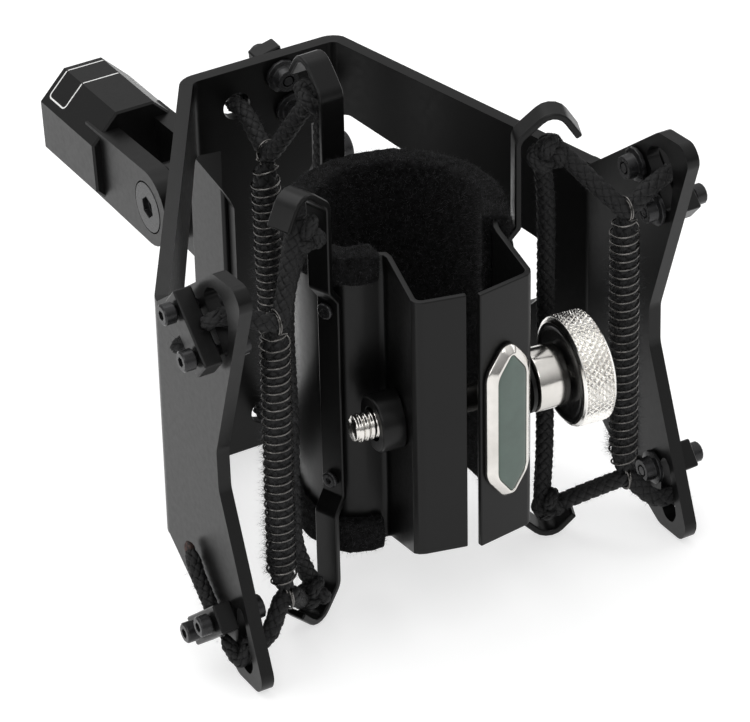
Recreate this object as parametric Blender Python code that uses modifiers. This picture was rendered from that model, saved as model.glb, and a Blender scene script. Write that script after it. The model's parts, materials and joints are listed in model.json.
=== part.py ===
"""Sling shock mount for a side-address ribbon microphone.

A folded sheet frame carries three vertical slings. Each sling is a braided cord clamped to the frame, pulled
inwards by a coil spring and looped over the hooks of a bracket on the felt-lined clamp. A thumb screw closes the
clamp. A forked, octagonal stand adapter tilts on a tongue behind the frame.

Everything is drawn upright (clamp axis along +Z, open side towards -Y) under one empty. The empty leans the
whole mount so that its two toes and the rear panel's lower edge stand on the ground.
"""

import math

import bmesh
import bpy
from mathutils import Matrix, Vector

MM = 0.001

# ---- driving dimensions, millimetres --------------------------------------------------------------------
LEAN_DEG = 6.85                # whole mount about X, so that toes and rear panel are level
STAND_SHIFT = (0.0, -65.764, 53.95)  # world shift after the lean: origin under the middle of the box

SHEET = 3.0                    # frame sheet
ARM_X = 51.3                   # inner face of an arm
ARM_CREASE_Y = 13.9
REAR_HALF = 17.4               # rear panel half width
REAR_Y = 67.3                  # inner face of the rear panel
REAR_TOP, REAR_BOTTOM = 39.85, -62.3
ARM_TOP, ARM_BOTTOM = 25.9, -34.3   # at the arm crease
FOLD_R = 2.2

CLAMP_X, CLAMP_Y = -1.6, 5.9   # barrel axis
SKEW = math.radians(-4.0)      # cradle turned a little in the frame
BARREL_R = 22.0                # outside of the clamp sheet
CLAMP_T = 1.3
PROW_TOP, PROW_BOTTOM = 34.6, -29.5
BARREL_BOTTOM = -38.6
FELT_TOP, FELT_BOTTOM = 35.8, -40.0
FELT_IN = 1.9                  # felt inside the barrel
HEM_TOP, HEM_BOTTOM = 29.0, -31.5
GAP = 0.3

STRAP_W, STRAP_T = 5.7, 1.5
BRACKET_DEG = (-21.0, 204.0, 91.5)   # right, left, rear, about the barrel axis
REAR_DROP = 0.4

SCREW_R, SCREW_HEAD_R, SCREW_HEAD_H = 1.1, 2.33, 2.9
HOLE_R = 1.45
BAR_L, BAR_W, BAR_T = 17.5, 6.4, 4.2
CORD_R = 1.9
SPRING_R, WIRE_R = 3.4, 0.33

PIVOT_Y, PIVOT_Z = 110.4, -18.4
OCT_W, OCT_H, OCT_CHAMFER = 24.0, 26.4, 7.0
ADAPTER_LEAN = math.radians(4.5)

THUMB_Y, THUMB_Z = -16.9, -0.5
THUMB_R = 3.175
THUMB_TURN = math.radians(-5.0)


# ---- scene ------------------------------------------------------------------------------------------------
for old in list(bpy.data.objects):
    bpy.data.objects.remove(old, do_unlink=True)

PARTS = bpy.data.collections.new("sling_shock_mount")
CUTTERS = bpy.data.collections.new("cutters")
bpy.context.scene.collection.children.link(PARTS)
bpy.context.scene.collection.children.link(CUTTERS)

root = bpy.data.objects.new("stance", None)
PARTS.objects.link(root)
root.rotation_euler = (math.radians(LEAN_DEG), 0, 0)
root.location = [c * MM for c in STAND_SHIFT]


def material(name, colour, roughness, metallic=0.0):
    mat = bpy.data.materials.new(name)
    mat.use_nodes = True
    bsdf = mat.node_tree.nodes["Principled BSDF"]
    bsdf.inputs["Base Color"].default_value = (*colour, 1)
    bsdf.inputs["Roughness"].default_value = roughness
    bsdf.inputs["Metallic"].default_value = metallic
    return mat


BLACK = material("satin_black_anodise", (0.018, 0.018, 0.019), 0.38, 0.6)
SCREWS = material("black_oxide_steel", (0.03, 0.03, 0.03), 0.3, 0.9)
FELT = material("black_felt", (0.012, 0.012, 0.013), 0.95)
CORD = material("black_braid", (0.01, 0.01, 0.01), 0.8)
STEEL = material("bright_nickel", (0.72, 0.70, 0.66), 0.2, 1.0)
SPRING = material("spring_steel", (0.35, 0.34, 0.33), 0.3, 1.0)
ENAMEL = material("green_enamel", (0.06, 0.13, 0.09), 0.3)


# ---- tools ------------------------------------------------------------------------------------------------
def place(obj, mat=None, collection=PARTS, parent=None):
    collection.objects.link(obj)
    obj.parent = parent or root
    if mat:
        obj.data.materials.append(mat)
    if collection is CUTTERS:
        obj.hide_render = True
        obj.display_type = "WIRE"
    return obj


def mesh_object(name, bm, mat=None, collection=PARTS, smooth=35, parent=None):
    bmesh.ops.recalc_face_normals(bm, faces=bm.faces)
    mesh = bpy.data.meshes.new(name)
    bm.to_mesh(mesh)
    bm.free()
    if smooth:
        mesh.shade_smooth()
        mesh.set_sharp_from_angle(angle=math.radians(smooth))
    return place(bpy.data.objects.new(name, mesh), mat, collection, parent)


def apply_modifiers(obj):
    """Bakes an object's modifiers into a new mesh, which keeps Booleans in a known order."""
    bpy.context.view_layer.update()
    graph = bpy.context.evaluated_depsgraph_get()
    mesh = bpy.data.meshes.new_from_object(obj.evaluated_get(graph))
    obj.modifiers.clear()
    obj.data = mesh
    return obj


def boolean(obj, other, operation="DIFFERENCE", keep=False):
    mod = obj.modifiers.new(operation.lower(), "BOOLEAN")
    mod.object = other
    mod.operation = operation
    mod.solver = "EXACT"
    apply_modifiers(obj)
    if not keep:
        bpy.data.objects.remove(other, do_unlink=True)
    return obj


def clean(obj, smooth=35):
    """Welds what a Boolean left apart and shades the result."""
    bm = bmesh.new()
    bm.from_mesh(obj.data)
    bmesh.ops.remove_doubles(bm, verts=bm.verts, dist=0.000002)
    bm.to_mesh(obj.data)
    bm.free()
    if smooth:
        obj.data.shade_smooth()
        obj.data.set_sharp_from_angle(angle=math.radians(smooth))
    return obj


def round_corners(points, radii, steps=4):
    """Closed 2-D outline with each corner replaced by an arc."""
    out = []
    n = len(points)
    for i, point in enumerate(points):
        p = Vector(point[:2])
        r = radii[i] if isinstance(radii, (list, tuple)) else radii
        a = (Vector(points[i - 1][:2]) - p)
        b = (Vector(points[(i + 1) % n][:2]) - p)
        if r <= 0:
            out.append(p)
            continue
        ua, ub = a.normalized(), b.normalized()
        half = ua.angle(ub) / 2
        d = min(r / math.tan(half), 0.48 * a.length, 0.48 * b.length)
        r = d * math.tan(half)
        centre = p + (ua + ub).normalized() * (r / math.sin(half))
        s, e = p + ua * d - centre, p + ub * d - centre
        turn = s.angle_signed(e)
        for k in range(steps + 1):
            out.append(centre + Matrix.Rotation(-turn * k / steps, 2) @ s)
    return out


def fillet_path(points, radius, steps=4):
    """Open 2-D path with rounded inner corners."""
    pts = [Vector(p) for p in points]
    out = [pts[0]]
    for i in range(1, len(pts) - 1):
        p = pts[i]
        a, b = pts[i - 1] - p, pts[i + 1] - p
        ua, ub = a.normalized(), b.normalized()
        half = ua.angle(ub) / 2
        r = radius[i - 1] if isinstance(radius, (list, tuple)) else radius
        d = min(r / math.tan(half), 0.48 * a.length, 0.48 * b.length)
        if r <= 0 or d < 1e-6:
            out.append(p)
            continue
        r = d * math.tan(half)
        centre = p + (ua + ub).normalized() * (r / math.sin(half))
        s, e = p + ua * d - centre, p + ub * d - centre
        turn = s.angle_signed(e)
        for k in range(steps + 1):
            out.append(centre + Matrix.Rotation(-turn * k / steps, 2) @ s)
    out.append(pts[-1])
    return out


def prism(name, outline, depth, matrix, mat=None, collection=PARTS, bevel=0.0, smooth=35, segments=1):
    """Outline in the matrix's XY, from z=0 to depth (mm)."""
    bm = bmesh.new()
    face = bm.faces.new([bm.verts.new((p[0] * MM, p[1] * MM, 0)) for p in outline])
    bm.normal_update()
    if face.normal.z > 0:
        face.normal_flip()
    made = bmesh.ops.extrude_face_region(bm, geom=[face])
    verts = [v for v in made["geom"] if isinstance(v, bmesh.types.BMVert)]
    bmesh.ops.translate(bm, verts=verts, vec=(0, 0, depth * MM))
    if bevel:
        bmesh.ops.recalc_face_normals(bm, faces=bm.faces)
        edges = [e for e in bm.edges if e.is_manifold and e.calc_face_angle(0) > math.radians(50)]
        bmesh.ops.bevel(bm, geom=edges, offset=bevel * MM, segments=segments, affect="EDGES", profile=0.5)
    bmesh.ops.transform(bm, matrix=matrix, verts=bm.verts)
    return mesh_object(name, bm, mat, collection, smooth)


def cylinder(name, radius, depth, matrix, mat=None, collection=PARTS, sides=24, chamfer=0.0, top=None):
    """Along the matrix's Z, from 0 to depth (mm)."""
    bm = bmesh.new()
    bmesh.ops.create_cone(bm, cap_ends=True, segments=sides, radius1=radius * MM,
                          radius2=(radius if top is None else top) * MM, depth=depth * MM)
    bmesh.ops.translate(bm, verts=bm.verts, vec=(0, 0, depth * MM / 2))
    if chamfer:
        rims = [e for e in bm.edges if e.calc_face_angle(0) > math.radians(50)]
        bmesh.ops.bevel(bm, geom=rims, offset=chamfer * MM, segments=1, affect="EDGES", profile=0.5)
    bmesh.ops.transform(bm, matrix=matrix, verts=bm.verts)
    return mesh_object(name, bm, mat, collection)


def turned(name, profile, matrix, mat, sides=32, collection=PARTS):
    """Closed (radius, height) profile swept round the matrix's Z."""
    bm = bmesh.new()
    rings = []
    for k in range(sides):
        a = 2 * math.pi * k / sides
        rings.append([bm.verts.new((r * MM * math.cos(a), r * MM * math.sin(a), z * MM)) for r, z in profile])
    n = len(profile)
    for k in range(sides):
        a, b = rings[k], rings[(k + 1) % sides]
        for i in range(n):
            j = (i + 1) % n
            if profile[i][0] or profile[j][0]:
                bm.faces.new((a[i], a[j], b[j], b[i]))
    bmesh.ops.remove_doubles(bm, verts=bm.verts, dist=1e-6)
    bmesh.ops.dissolve_degenerate(bm, dist=1e-7, edges=bm.edges)
    bmesh.ops.transform(bm, matrix=matrix, verts=bm.verts)
    return mesh_object(name, bm, mat, collection)


def axes(origin, x, y, z):
    """Matrix from three direction vectors and an origin in mm."""
    m = Matrix((Vector(x).normalized(), Vector(y).normalized(), Vector(z).normalized())).transposed().to_4x4()
    m.translation = Vector(origin) * MM
    return m


def facing(origin, z, up=(0, 0, 1)):
    z = Vector(z).normalized()
    x = Vector(up).cross(z)
    x = Vector((1, 0, 0)) if x.length < 1e-6 else x.normalized()
    return axes(origin, x, z.cross(x), z)


def sweep_wall(name, path, profiles, mat, collection=PARTS, smooth=35):
    """Lofts closed (offset, height) profiles along an open plan path; offset is to the path's right side."""
    bm = bmesh.new()
    rings = []
    pts = [Vector(p) for p in path]
    for i, p in enumerate(pts):
        a = (p - pts[i - 1]).normalized() if i else None
        b = (pts[i + 1] - p).normalized() if i + 1 < len(pts) else None
        t = (a or b) if not (a and b) else (a + b).normalized()
        stretch = 1.0 if not (a and b) else 1 / max(0.5, t.dot(a))
        normal = Vector((t.y, -t.x)) * stretch
        rings.append([bm.verts.new(((p.x + normal.x * o) * MM, (p.y + normal.y * o) * MM, z * MM))
                      for o, z in profiles[i]])
    n = len(rings[0])
    for a, b in zip(rings, rings[1:]):
        for i in range(n):
            j = (i + 1) % n
            bm.faces.new((a[i], a[j], b[j], b[i]))
    bm.faces.new(rings[0])
    bm.faces.new(list(reversed(rings[-1])))
    return mesh_object(name, bm, mat, collection, smooth)


def tube(name, points, radius, mat, resolution=2, collection=PARTS):
    curve = bpy.data.curves.new(name, "CURVE")
    curve.dimensions = "3D"
    curve.bevel_depth = radius * MM
    curve.bevel_resolution = resolution
    curve.use_fill_caps = True
    spline = curve.splines.new("POLY")
    spline.points.add(len(points) - 1)
    for sp, p in zip(spline.points, points):
        sp.co = (p[0] * MM, p[1] * MM, p[2] * MM, 1)
    return place(bpy.data.objects.new(name, curve), mat, collection)


def smooth_route(points, spacing):
    """Catmull-Rom through the points, read at an even spacing."""
    pts = [Vector(p) for p in points]
    pts = [2 * pts[0] - pts[1], *pts, 2 * pts[-1] - pts[-2]]
    fine = []
    for i in range(1, len(pts) - 2):
        p0, p1, p2, p3 = pts[i - 1:i + 3]
        for k in range(24):
            t = k / 24
            fine.append(0.5 * ((2 * p1) + (p2 - p0) * t + (2 * p0 - 5 * p1 + 4 * p2 - p3) * t ** 2
                               + (3 * p1 - p0 - 3 * p2 + p3) * t ** 3))
    fine.append(pts[-2])
    total = sum((b - a).length for a, b in zip(fine, fine[1:]))
    count = max(4, round(total / spacing))
    out, need, run = [fine[0]], total / count, 0.0
    for a, b in zip(fine, fine[1:]):
        step = (b - a).length
        while run + step >= need and len(out) < count:
            out.append(a.lerp(b, (need - run) / step))
            a = out[-1]
            step = (b - a).length
            run = 0.0
        run += step
    out.append(fine[-1])
    return out


# ---- outer frame ------------------------------------------------------------------------------------------
def frame_sheet():
    """Inner faces of the folded sheet, left arm to right arm, as one open surface of flat panels."""
    plan = [(ARM_X, -60.0), (ARM_X, ARM_CREASE_Y), (REAR_HALF, REAR_Y)]
    right = fillet_path(plan + [(0, REAR_Y)], [FOLD_R, FOLD_R], 4)[1:-1]
    n = len(right) // 2
    heights = [(ARM_TOP, ARM_BOTTOM)] * n + [(REAR_TOP, REAR_BOTTOM)] * n
    arm = round_corners(
        [(13.9, 25.9), (-13.4, 47.9), (-22.4, 49.1), (-25.4, 46.2), (-11.5, 2.7), (-11.7, -6.8), (-28.3, -47.0),
         (-26.9, -50.8), (-17.5, -51.6), (-9.5, -47.8), (-1.0, -43.6), (13.9, -34.3)],
        [0, 3.5, 3.0, 3.5, 6, 6, 3.5, 3.0, 4.0, 3.0, 3.0, 0], 4)
    arm = [p for p in arm if p.x < right[0].y - 1e-6]
    bm = bmesh.new()
    for side in (1, -1):
        columns = [(bm.verts.new((side * p.x * MM, p.y * MM, top * MM)), bm.verts.new((side * p.x * MM, p.y * MM, low * MM)))
                   for p, (top, low) in zip(right, heights)]
        outline = [bm.verts.new((side * ARM_X * MM, p.x * MM, p.y * MM)) for p in arm]
        bm.faces.new([columns[0][0], *outline, columns[0][1]])
        for a, b in zip(columns, columns[1:]):
            bm.faces.new((a[0], a[1], b[1], b[0]))
        if side == 1:
            last = columns[-1]
        else:
            bm.faces.new((last[0], last[1], columns[-1][1], columns[-1][0]))
    bmesh.ops.recalc_face_normals(bm, faces=bm.faces)
    rear = max(bm.faces, key=lambda f: f.calc_center_median().y)
    if rear.normal.y < 0:
        bmesh.ops.reverse_faces(bm, faces=bm.faces)
    obj = mesh_object("outer_frame", bm, BLACK)
    solid = obj.modifiers.new("sheet", "SOLIDIFY")
    solid.thickness = SHEET * MM
    solid.offset = 1.0
    solid.use_even_offset = True
    solid.use_rim = True
    return apply_modifiers(obj)


frame = frame_sheet()

# windows: one opening each side, round the rear crease
band_dir = Vector((REAR_HALF - ARM_X, REAR_Y - ARM_CREASE_Y)).normalized()   # from arm crease to rear crease
for side, tag in ((1, "r"), (-1, "l")):
    d = Vector((side * -band_dir.x, -band_dir.y, 0))                          # from rear crease to arm crease
    normal = Vector((side * 0.845, 0.535, 0))
    origin = (side * REAR_HALF, REAR_Y, 0)
    outline = round_corners([(-3.2, 20.4), (3.8, 21.7), (52.2, 2.2), (52.2, -12.4), (49.4, -15.4), (4.0, -43.0), (-3.2, -43.8)],
                            [0, 2, 3, 3, 3, 3, 0], 4)
    m = axes(Vector(origin) - normal * 6, d, (0, 0, 1), d.cross(Vector((0, 0, 1))))
    depth = 15 if m.col[2].to_3d().dot(normal) > 0 else -15
    if depth < 0:
        m = axes(Vector(origin) + normal * 9, d, (0, 0, 1), d.cross(Vector((0, 0, 1))))
    cut = prism("window_band_" + tag, outline, 15, m, collection=CUTTERS, smooth=0)
    boolean(frame, cut)
    outline = round_corners([(17.6, 20.6), (9.9, 7.4), (8.7, 4.6), (8.7, -27.6), (9.9, -30.6), (17.6, -43.9)],
                            [0, 3, 3, 3, 3, 0], 4)
    outline = [(side * p.x, p.y) for p in outline] + [(side * 22.5, -43.9), (side * 22.5, 20.6)]
    cut = prism("window_rear_" + tag, outline, 9, axes((0, REAR_Y - 3.0, 0), (1, 0, 0), (0, 0, 1), (0, -1, 0)) @
                Matrix.Translation((0, 0, -8 * MM)), collection=CUTTERS, smooth=0)
    boolean(frame, cut)

# cord holes and clamp screws. u runs forwards on an arm, and towards -X on the rear panel.
ARM_UP_HOLE = [(-8.6, 40.2), (-10.8, 43.2), (-13.8, 44.6), (-17.0, 44.3), (-19.2, 41.8), (-19.6, 38.0), (-18.8, 30.8), (-17.5, 30.4), (-12.2, 36.4)]
ARM_LOW_HOLE = [(-17.6, -34.2), (-19.2, -32.4), (-21.0, -34.2), (-24.3, -45.4), (-23.0, -48.4), (-20.0, -48.4), (-18.2, -46.2)]
ARM_UP_SCREWS = ((-6.0, 36.3), (-14.0, 29.6))
ARM_LOW_SCREWS = ((-15.6, -37.2), (-8.8, -43.4))
REAR_UP_HOLE = (-7.0, 30.6)
REAR_UP_SCREWS = ((4.2, 35.4), (6.4, 26.3))
REAR_LOW_HOLE = (-3.2, -53.0)
REAR_LOW_SCREWS = ((6.0, -48.4), (4.4, -57.4))

for side, tag in ((1, "right"), (-1, "left")):
    m = axes((side * (ARM_X - 5), 0, 0), (0, 1, 0), (0, 0, 1), (1, 0, 0))
    for name, hole, r in (("up", ARM_UP_HOLE, 2.2), ("low", ARM_LOW_HOLE, 2.0)):
        outline = round_corners(hole, r, 3)
        m = axes((side * (ARM_X + 1.5) - 7, 0, 0), (0, 1, 0), (0, 0, 1), (1, 0, 0))
        boolean(frame, prism("hole_%s_%s" % (name, tag), outline, 14, m, collection=CUTTERS, smooth=0))
for name, (x, z), r in (("rear_up", REAR_UP_HOLE, 3.3), ("rear_low", REAR_LOW_HOLE, 3.3)):
    boolean(frame, cylinder("hole_" + name, r, 14, axes((x, REAR_Y - 6, z), (1, 0, 0), (0, 0, -1), (0, 1, 0)), collection=CUTTERS))


def hex_outline(across, turn=0.0):
    r = across / math.sqrt(3)
    return [(r * math.cos(turn + k * math.pi / 3), r * math.sin(turn + k * math.pi / 3)) for k in range(6)]


def bore(obj, radius, origin, direction, length=60, sides=20):
    """Drills obj along a direction, through a point."""
    z = Vector(direction).normalized()
    m = facing(Vector(origin) - z * length / 2, z)
    return boolean(obj, cylinder("drill", radius, length, m, collection=CUTTERS, sides=sides))


def socket_screw(name, seat, outward, grip, head_r=SCREW_HEAD_R, head_h=SCREW_HEAD_H, shank_r=SCREW_R, key=2.0, mat=SCREWS,
                 chamfer=0.35, sides=14):
    """Head stands on seat and points outward; the shank runs grip mm the other way."""
    out = Vector(outward).normalized()
    head = cylinder(name, head_r, head_h, facing(seat, out), mat, sides=sides, chamfer=chamfer)
    shank = cylinder("shank", shank_r, grip + 1.0, facing(Vector(seat) - out * grip, out), collection=CUTTERS, sides=10)
    boolean(head, shank, "UNION")
    pocket = prism("key", hex_outline(key), head_h * 0.55 + 2, facing(Vector(seat) + out * head_h * 0.45, out), collection=CUTTERS, smooth=0)
    boolean(head, pocket)
    return clean(head)


def clamp_set(tag, face, outward, along, centre, screws):
    """Bar outside the frame sheet, two socket screws through it, and a flange nut for each inside."""
    out = Vector(outward)
    a, b = [Vector(s) for s in screws]
    run = (b - a).normalized()
    middle = (a + b) / 2
    seat = middle + out * 0.9
    y = out.cross(run)
    outline = [(-BAR_L / 2, -BAR_W / 2), (BAR_L / 2, -BAR_W / 2), (BAR_L / 2, BAR_W / 2), (-BAR_L / 2, BAR_W / 2)]
    bar = prism("cord_clamp_bar_" + tag, outline, BAR_T, axes(seat, run, y, out), BLACK, bevel=0.3)
    for k, point in enumerate((a, b)):
        bore(bar, HOLE_R, point, out, 30, 12)
        bore(frame, HOLE_R, point, out, 16, 12)
        socket_screw("clamp_screw_%s_%d" % (tag, k + 1), point + out * (0.9 + BAR_T + GAP), out, 0.9 + BAR_T + GAP + SHEET + GAP + 3.4)
        profile = [(HOLE_R, 0), (3.9, 0), (3.9, 0.9), (2.8, 1.2), (2.6, 3.4), (HOLE_R, 3.4)]
        turned("flange_nut_%s_%d" % (tag, k + 1), profile, facing(point - out * (SHEET + GAP), -out), SCREWS, sides=12)
    clean(bar)


for side, tag in ((1, "right"), (-1, "left")):
    for level, screws in (("upper", ARM_UP_SCREWS), ("lower", ARM_LOW_SCREWS)):
        pts = [(side * (ARM_X + SHEET), y, z) for y, z in screws]
        clamp_set("%s_%s" % (tag, level), ARM_X, (side, 0, 0), None, None, pts)
for level, screws in (("upper", REAR_UP_SCREWS), ("lower", REAR_LOW_SCREWS)):
    clamp_set("rear_" + level, REAR_Y, (0, 1, 0), None, None, [(x, REAR_Y + SHEET, z) for x, z in screws])

# ---- swivel base, adapter ---------------------------------------------------------------------------------
BASE_FRONT = REAR_Y + SHEET + GAP
base = prism("swivel_base", round_corners([(-10, -27), (10, -27), (10, 16), (-10, 16)], 1.2, 2), 16.5,
             axes((0, BASE_FRONT, 0), (-1, 0, 0), (0, 0, 1), (0, 1, 0)), BLACK, bevel=0.6)
tongue = round_corners([(BASE_FRONT + 8, PIVOT_Z - 9), (PIVOT_Y - 0.1, PIVOT_Z - 9), (PIVOT_Y, PIVOT_Z + 9), (BASE_FRONT + 8, PIVOT_Z + 9)], 0, 2)
arc = [(PIVOT_Y + 9 * math.sin(a), PIVOT_Z - 9 * math.cos(a)) for a in [math.pi * k / 14 for k in range(15)]]
tongue = prism("tongue", [(BASE_FRONT + 8, PIVOT_Z - 9), *arc, (BASE_FRONT + 8, PIVOT_Z + 9)], 8.4,
               axes((-4.2, 0, 0), (0, 1, 0), (0, 0, 1), (1, 0, 0)), collection=CUTTERS)
boolean(base, tongue, "UNION")
bore(base, 3.3, (0, PIVOT_Y, PIVOT_Z), (1, 0, 0), 40, 24)
clean(base)

tilt = Matrix.Translation((0, PIVOT_Y * MM, PIVOT_Z * MM)) @ Matrix.Rotation(-ADAPTER_LEAN, 4, "X")
w, h, c = OCT_W / 2, OCT_H / 2, OCT_CHAMFER
octagon = [(-w, -h + c), (-w + c, -h), (w - c, -h), (w, -h + c), (w, h - c), (w - c, h), (-w + c, h), (-w, h - c)]
BLOCK_NEAR, BLOCK_FAR = 24.2, 53.6                     # octagonal block, measured from the pivot
adapter = prism("stand_adapter", octagon, BLOCK_FAR - BLOCK_NEAR,
                tilt @ axes((0, BLOCK_FAR, 0), (1, 0, 0), (0, 0, 1), (0, -1, 0)), BLACK, bevel=0.5)
CHEEK_R = 9.6
arc = [(-CHEEK_R * math.sin(a), CHEEK_R * math.cos(a)) for a in [math.pi * k / 16 for k in range(17)]]
for side, tag in ((1, "r"), (-1, "l")):
    cheek = prism("cheek_" + tag, [(32, 9.0), (20, 9.2), *arc, (20, -9.2), (32, -9.0)], 5.2,
                  tilt @ axes((side * 7.3 - 2.6, 0, 0), (0, 1, 0), (0, 0, 1), (1, 0, 0)), collection=CUTTERS)
    boolean(adapter, cheek, "UNION")
bore(adapter, 3.3, (0, PIVOT_Y, PIVOT_Z), (1, 0, 0), 60, 24)
# recess for the bolt's head on the left cheek
recess = cylinder("recess", 6.55, 6, axes((-9.9 - 4.0, PIVOT_Y, PIVOT_Z), (0, 1, 0), (0, 0, 1), (1, 0, 0)), collection=CUTTERS, sides=32)
boolean(adapter, recess)
# threaded socket for the stand, drawn plain, in the rear face
socket_at = tilt @ Vector((0, (BLOCK_FAR + 0.2) * MM, 0)) / MM
socket_dir = (tilt.to_3x3() @ Vector((0, -1, 0)))
boolean(adapter, cylinder("stand_socket", 7.7, 19, facing(socket_at, socket_dir), collection=CUTTERS, sides=32))
clean(adapter)

bolt = turned("pivot_bolt", [(0, 0), (6.25, 0), (6.25, 1.7), (3.0, 1.7), (3.0, 25.0), (0, 25.0)],
              axes((-10.0, PIVOT_Y, PIVOT_Z), (0, 1, 0), (0, 0, 1), (1, 0, 0)), SCREWS, sides=32)
boolean(bolt, prism("bolt_key", hex_outline(4.8, 0.3), 3.0, axes((-11.5, PIVOT_Y, PIVOT_Z), (0, 1, 0), (0, 0, 1), (1, 0, 0)), collection=CUTTERS, smooth=0))
clean(bolt)
knob = turned("pivot_knob", [(0, 33.0), (4.0, 33.0), (4.7, 32.2), (4.7, 24.6), (4.0, 24.0), (3.6, 23.4), (3.6, 12.0), (5.4, 9.0), (5.4, 0), (3.3, 0), (3.3, 7.0), (0, 7.0)],
              axes((10.3, PIVOT_Y, PIVOT_Z), (0, 1, 0), (0, 0, 1), (1, 0, 0)), SCREWS, sides=28)

# ---- cradle -----------------------------------------------------------------------------------------------
cradle = bpy.data.objects.new("cradle_axis", None)
PARTS.objects.link(cradle)
cradle.parent = root


def ring(angle_deg, radius):
    a = math.radians(angle_deg)
    return Vector((CLAMP_X + radius * math.cos(a), CLAMP_Y + radius * math.sin(a)))


MID_R = BARREL_R - CLAMP_T / 2
SPLIT = 86.0                                            # the shell opens here, at the back
LEFT_PATH = [ring(SPLIT + 0.8, MID_R)] + [ring(SPLIT + 0.8 + k * (196 - SPLIT) / 14, MID_R) for k in range(1, 15)]
LEFT_PATH += [Vector(p) for p in ((-20.7, -2.7), (-18.4, -4.3), (-15.4, -5.3), (-12.6, -5.7), (-11.0, -6.6), (-10.9, -8.2))]
LEFT_WALL = [Vector(p) for p in ((-14.6, -24.6), (-14.2, -25.7), (-13.2, -26.3), (-4.3, -28.4))]
RIGHT_PATH = [ring(SPLIT - 0.8, MID_R)] + [ring(SPLIT - 0.8 - k * (SPLIT + 38) / 15, MID_R) for k in range(1, 16)]
RIGHT_WALL = [Vector(p) for p in ((14.1, -9.4), (13.6, -11.5), (11.4, -26.6), (10.9, -27.6), (9.9, -28.2), (-2.1, -29.8))]


def shell_profile(p, prow):
    """Sheet section: the barrel is tall, and the prow's lower edge climbs towards the front."""
    low = BARREL_BOTTOM
    top = PROW_TOP
    if prow:
        t = min(1.0, max(0.0, (-p.y - 6.0) / 20.0))
        low = BARREL_BOTTOM + t * (PROW_BOTTOM - BARREL_BOTTOM)
    h = CLAMP_T / 2
    return [(-h, low), (h, low), (h, top), (-h, top)]


left_all = LEFT_PATH + LEFT_WALL
right_all = RIGHT_PATH + RIGHT_WALL
shell = sweep_wall("clamp_shell", left_all, [shell_profile(p, i >= len(LEFT_PATH) - 2) for i, p in enumerate(left_all)], BLACK)
jaw = sweep_wall("clamp_jaw", right_all, [shell_profile(p, i >= len(RIGHT_PATH) - 1) for i, p in enumerate(right_all)], BLACK)


def felt_profile(outwards):
    """U over both rims: inside layer, a flat rim, and a hem outside. outwards is the sign of the outer side."""
    h = CLAMP_T / 2
    inner, face_in = -(h + GAP + FELT_IN), -(h + GAP)
    face_out, hem = h + GAP, h + GAP + 1.9
    pts = [(inner, FELT_BOTTOM), (hem, FELT_BOTTOM), (hem, HEM_BOTTOM), (face_out, HEM_BOTTOM), (face_out, BARREL_BOTTOM - GAP),
           (face_in, BARREL_BOTTOM - GAP), (face_in, PROW_TOP + GAP), (face_out, PROW_TOP + GAP), (face_out, HEM_TOP), (hem, HEM_TOP),
           (hem, FELT_TOP), (inner, FELT_TOP)]
    return [(o * outwards, z) for o, z in pts]


# outer side is to the path's left on the way round the left half (counter-clockwise), so its sign turns over
felt_left_path = LEFT_PATH[:-2]
felt_left = sweep_wall("felt_liner_left", felt_left_path, [felt_profile(1)] * len(felt_left_path), FELT, smooth=50)
felt_right_path = RIGHT_PATH
felt_right = sweep_wall("felt_liner_right", felt_right_path, [felt_profile(-1)] * len(felt_right_path), FELT, smooth=50)

# thumb screw line through both prow walls
th = Vector((math.cos(THUMB_TURN), math.sin(THUMB_TURN), 0))
def on_thumb(x):
    return Vector((x, THUMB_Y + math.tan(THUMB_TURN) * x, THUMB_Z))
bore(shell, 3.75, on_thumb(-12.0), th, 14)
bore(jaw, 3.75, on_thumb(13.0), th, 12)


def seat_on_wall(obj, a, b, outward):
    """Trims obj to the outer face of the prow wall that runs from a to b in plan."""
    a, b = Vector((*a, 0)), Vector((*b, 0))
    along = (b - a).normalized()
    out = Vector((along.y, -along.x, 0))
    out = out if out.x * outward > 0 else -out
    face = (a + b) / 2 + out * (CLAMP_T / 2 + GAP)
    block = prism("wall_block", [(-20, -20), (20, -20), (20, 20), (-20, 20)], 12, facing(face - out * 12, out), collection=CUTTERS, smooth=0)
    return clean(boolean(obj, block))


boss = turned("threaded_boss", [(3.75, -5), (6.35, -5), (6.35, 5.5), (5.9, 6.0), (3.75, 6.0)],
              facing(on_thumb(-13.6), -th), BLACK, sides=28)
seat_on_wall(boss, LEFT_PATH[-1], LEFT_WALL[0], -1)
bush = turned("flanged_bush", [(3.6, -4), (5.2, -4), (5.2, 1.2), (6.7, 1.2), (6.7, 2.1), (3.6, 2.1)], facing(on_thumb(13.7), th), BLACK, sides=28)
seat_on_wall(bush, RIGHT_WALL[1], RIGHT_WALL[2], 1)
thumb = turned("thumb_screw", [(0, -42.6), (2.2, -42.6), (THUMB_R, -41.4), (THUMB_R, -1.95), (6.9, -1.95), (6.9, 5.6), (4.0, 5.6), (4.0, 13.2), (0, 13.2)],
               facing(on_thumb(18.2), th), STEEL, sides=32)
disc = turned("thumb_disc", [(4.3, 0), (11.6, 0), (12.3, 0.7), (12.3, 7.3), (11.6, 8.0), (4.3, 8.0)],
              facing(on_thumb(18.2) + th * 5.9, th), STEEL, sides=48)

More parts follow.
